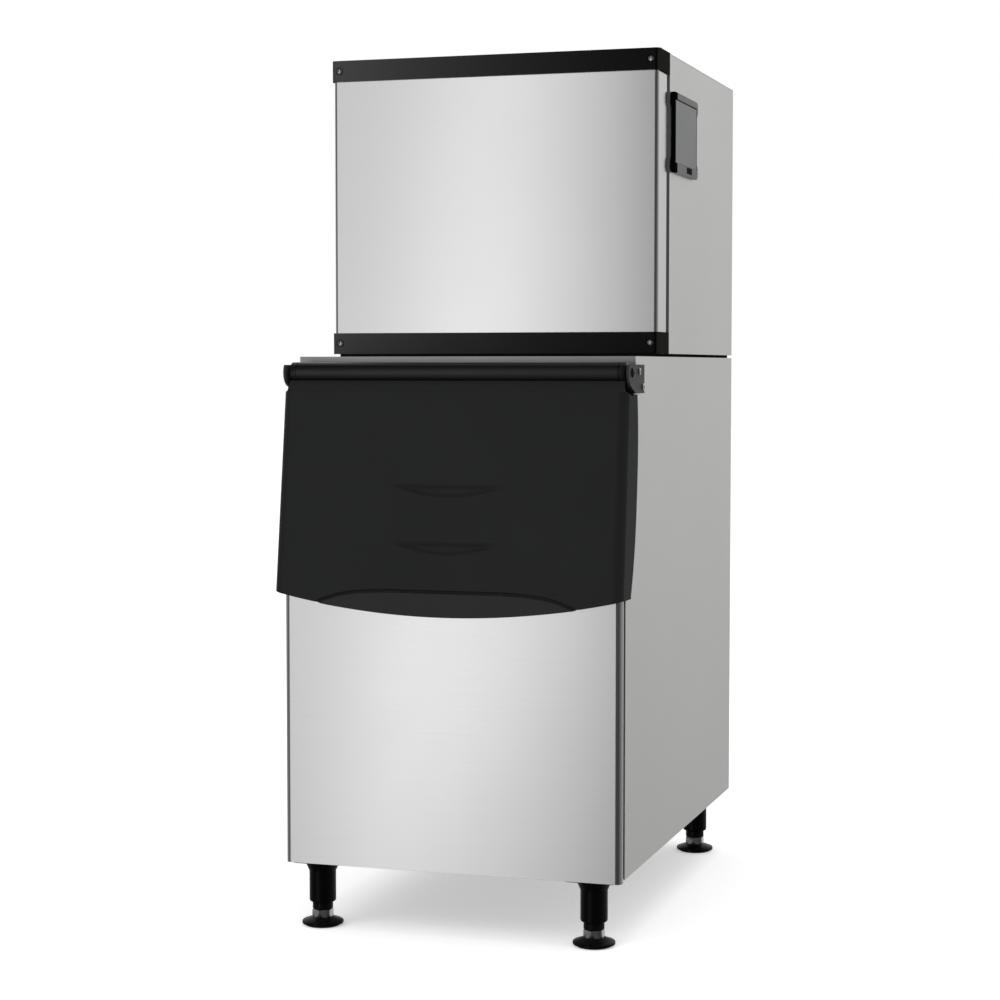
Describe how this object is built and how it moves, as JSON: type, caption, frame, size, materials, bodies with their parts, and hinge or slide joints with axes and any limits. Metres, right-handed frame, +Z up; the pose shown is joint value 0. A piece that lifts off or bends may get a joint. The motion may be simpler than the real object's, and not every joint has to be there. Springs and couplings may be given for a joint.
{
  "type": "cube ice machine",
  "caption": "Modular cube ice machine: a steel-cased ice-making head on a storage bin with a lift-up black door, side control hatch and adjustable legs.",
  "frame": {"origin": "on the floor, under the middle of the machine's bounding box", "axes": "+Z up; -Y is the front, where the bin's door is; +X is the machine's right as seen from the front"},
  "size_m": [0.5742, 0.8742, 1.411],
  "materials": {
    "satin_steel": "satin, brushed",
    "side_steel": "satin, flat",
    "rear_steel": "plain sheet",
    "liner_white": "smooth moulding",
    "black_moulding": "satin moulding",
    "tray_grey": "matt moulding",
    "black_gloss": "semi-gloss moulding",
    "bracket_grey": "satin paint",
    "bright_steel": "polished",
    "hatch_grey": "smooth moulding",
    "nickel_plate": "nickel plate",
    "curtain_plastic": "pale moulding",
    "compressor_black": "gloss paint",
    "copper": "drawn copper tube",
    "fin_aluminium": "mill finish",
    "valve_plastic": "matt moulding"
  },
  "bodies": {
    "cabinet": {"bin_front_panel": "satin_steel", "bin_deck": "satin_steel", "ice_baffle": "satin_steel", "head_front_panel": "satin_steel", "bin_side_left": "side_steel", "bin_side_right": "side_steel", "head_side_right": "side_steel", "head_side_left": "side_steel", "head_top_panel": "side_steel", "bin_rear_panel": "rear_steel", "bin_base_pan": "rear_steel", "head_rear_panel": "rear_steel", "divider_wall": "rear_steel", "control_box": "rear_steel", "bin_tub": "liner_white", "water_pump": "liner_white", "mouth_frame": "black_moulding", "leg_front_left": "black_moulding", "leg_rear_left": "black_moulding", "leg_front_right": "black_moulding", "leg_rear_right": "black_moulding", "head_base_tray": "black_moulding", "power_gland": "black_moulding", "bin_drain": "tray_grey", "control_pocket": "tray_grey", "water_trough": "tray_grey", "trim_top": "black_gloss", "trim_bottom": "black_gloss", "hatch_bezel": "black_gloss", "hinge_bracket_left": "bracket_grey", "hinge_bracket_right": "bracket_grey", "hinge_pin_left": "bright_steel", "bracket_screw_upper_left": "bright_steel", "bracket_screw_lower_left": "bright_steel", "hinge_pin_right": "bright_steel", "bracket_screw_upper_right": "bright_steel", "bracket_screw_lower_right": "bright_steel", "trim_screw_top_left": "bright_steel", "trim_screw_top_right": "bright_steel", "trim_screw_bottom_left": "bright_steel", "trim_screw_bottom_right": "bright_steel", "evaporator": "nickel_plate", "distributor_tube": "curtain_plastic", "compressor": "compressor_black", "fan_motor": "compressor_black", "suction_line": "copper", "condenser": "fin_aluminium", "inlet_valve": "valve_plastic"},
    "door": {"door_shell": "black_moulding", "door_tray": "tray_grey"},
    "hatch_flap": {"hatch_flap": "hatch_grey"},
    "hatch_latch": {"hatch_latch": "black_moulding"},
    "power_rocker": {"power_rocker": "black_gloss"},
    "ice_curtain": {"ice_curtain": "curtain_plastic"},
    "thickness_probe": {"thickness_probe": "liner_white"},
    "fan": {"fan_blade": "fin_aluminium"},
    "foot_front_left": {"foot_front_left": "black_gloss"},
    "foot_front_right": {"foot_front_right": "black_gloss"},
    "foot_rear_left": {"foot_rear_left": "black_gloss"},
    "foot_rear_right": {"foot_rear_right": "black_gloss"}
  },
  "joints": [
    {"name": "door_hinge", "type": "hinge", "parent": "cabinet", "child": "door", "pos_m": [0, -0.35992, 0.892], "axis": [-1, 0, 0], "range_deg": [0, 194]},
    {"name": "hatch_flap_hinge", "type": "hinge", "parent": "cabinet", "child": "hatch_flap", "pos_m": [0.285, -0.00292, 1.3372], "axis": [0, -1, 0], "range_deg": [0, 110]},
    {"name": "hatch_latch_press", "type": "slide", "parent": "cabinet", "child": "hatch_latch", "axis": [-1, 0, 0], "range_m": [0, 0.0015], "stiffness_N_per_m": 250},
    {"name": "power_rocker_hinge", "type": "hinge", "parent": "cabinet", "child": "power_rocker", "pos_m": [0.2555, -0.02862, 1.2855], "axis": [0, 1, 0], "range_deg": [0, 16]},
    {"name": "ice_curtain_hinge", "type": "hinge", "parent": "cabinet", "child": "ice_curtain", "pos_m": [0, 0.04308, 1.333], "axis": [-1, 0, 0], "range_deg": [0, 30]},
    {"name": "thickness_probe_hinge", "type": "hinge", "parent": "cabinet", "child": "thickness_probe", "pos_m": [-0.12, 0.08008, 1.333], "axis": [-1, 0, 0], "range_deg": [0, 15]},
    {"name": "fan_spin", "type": "hinge", "parent": "cabinet", "child": "fan", "pos_m": [0.1671, 0.32658, 1.0341], "axis": [0, 1, 0], "continuous": true},
    {"name": "foot_front_left_slide", "type": "slide", "parent": "cabinet", "child": "foot_front_left", "axis": [0, 0, -1], "range_m": [0, 0.025]},
    {"name": "foot_front_right_slide", "type": "slide", "parent": "cabinet", "child": "foot_front_right", "axis": [0, 0, -1], "range_m": [0, 0.025]},
    {"name": "foot_rear_left_slide", "type": "slide", "parent": "cabinet", "child": "foot_rear_left", "axis": [0, 0, -1], "range_m": [0, 0.025]},
    {"name": "foot_rear_right_slide", "type": "slide", "parent": "cabinet", "child": "foot_rear_right", "axis": [0, 0, -1], "range_m": [0, 0.025]}
  ]
}
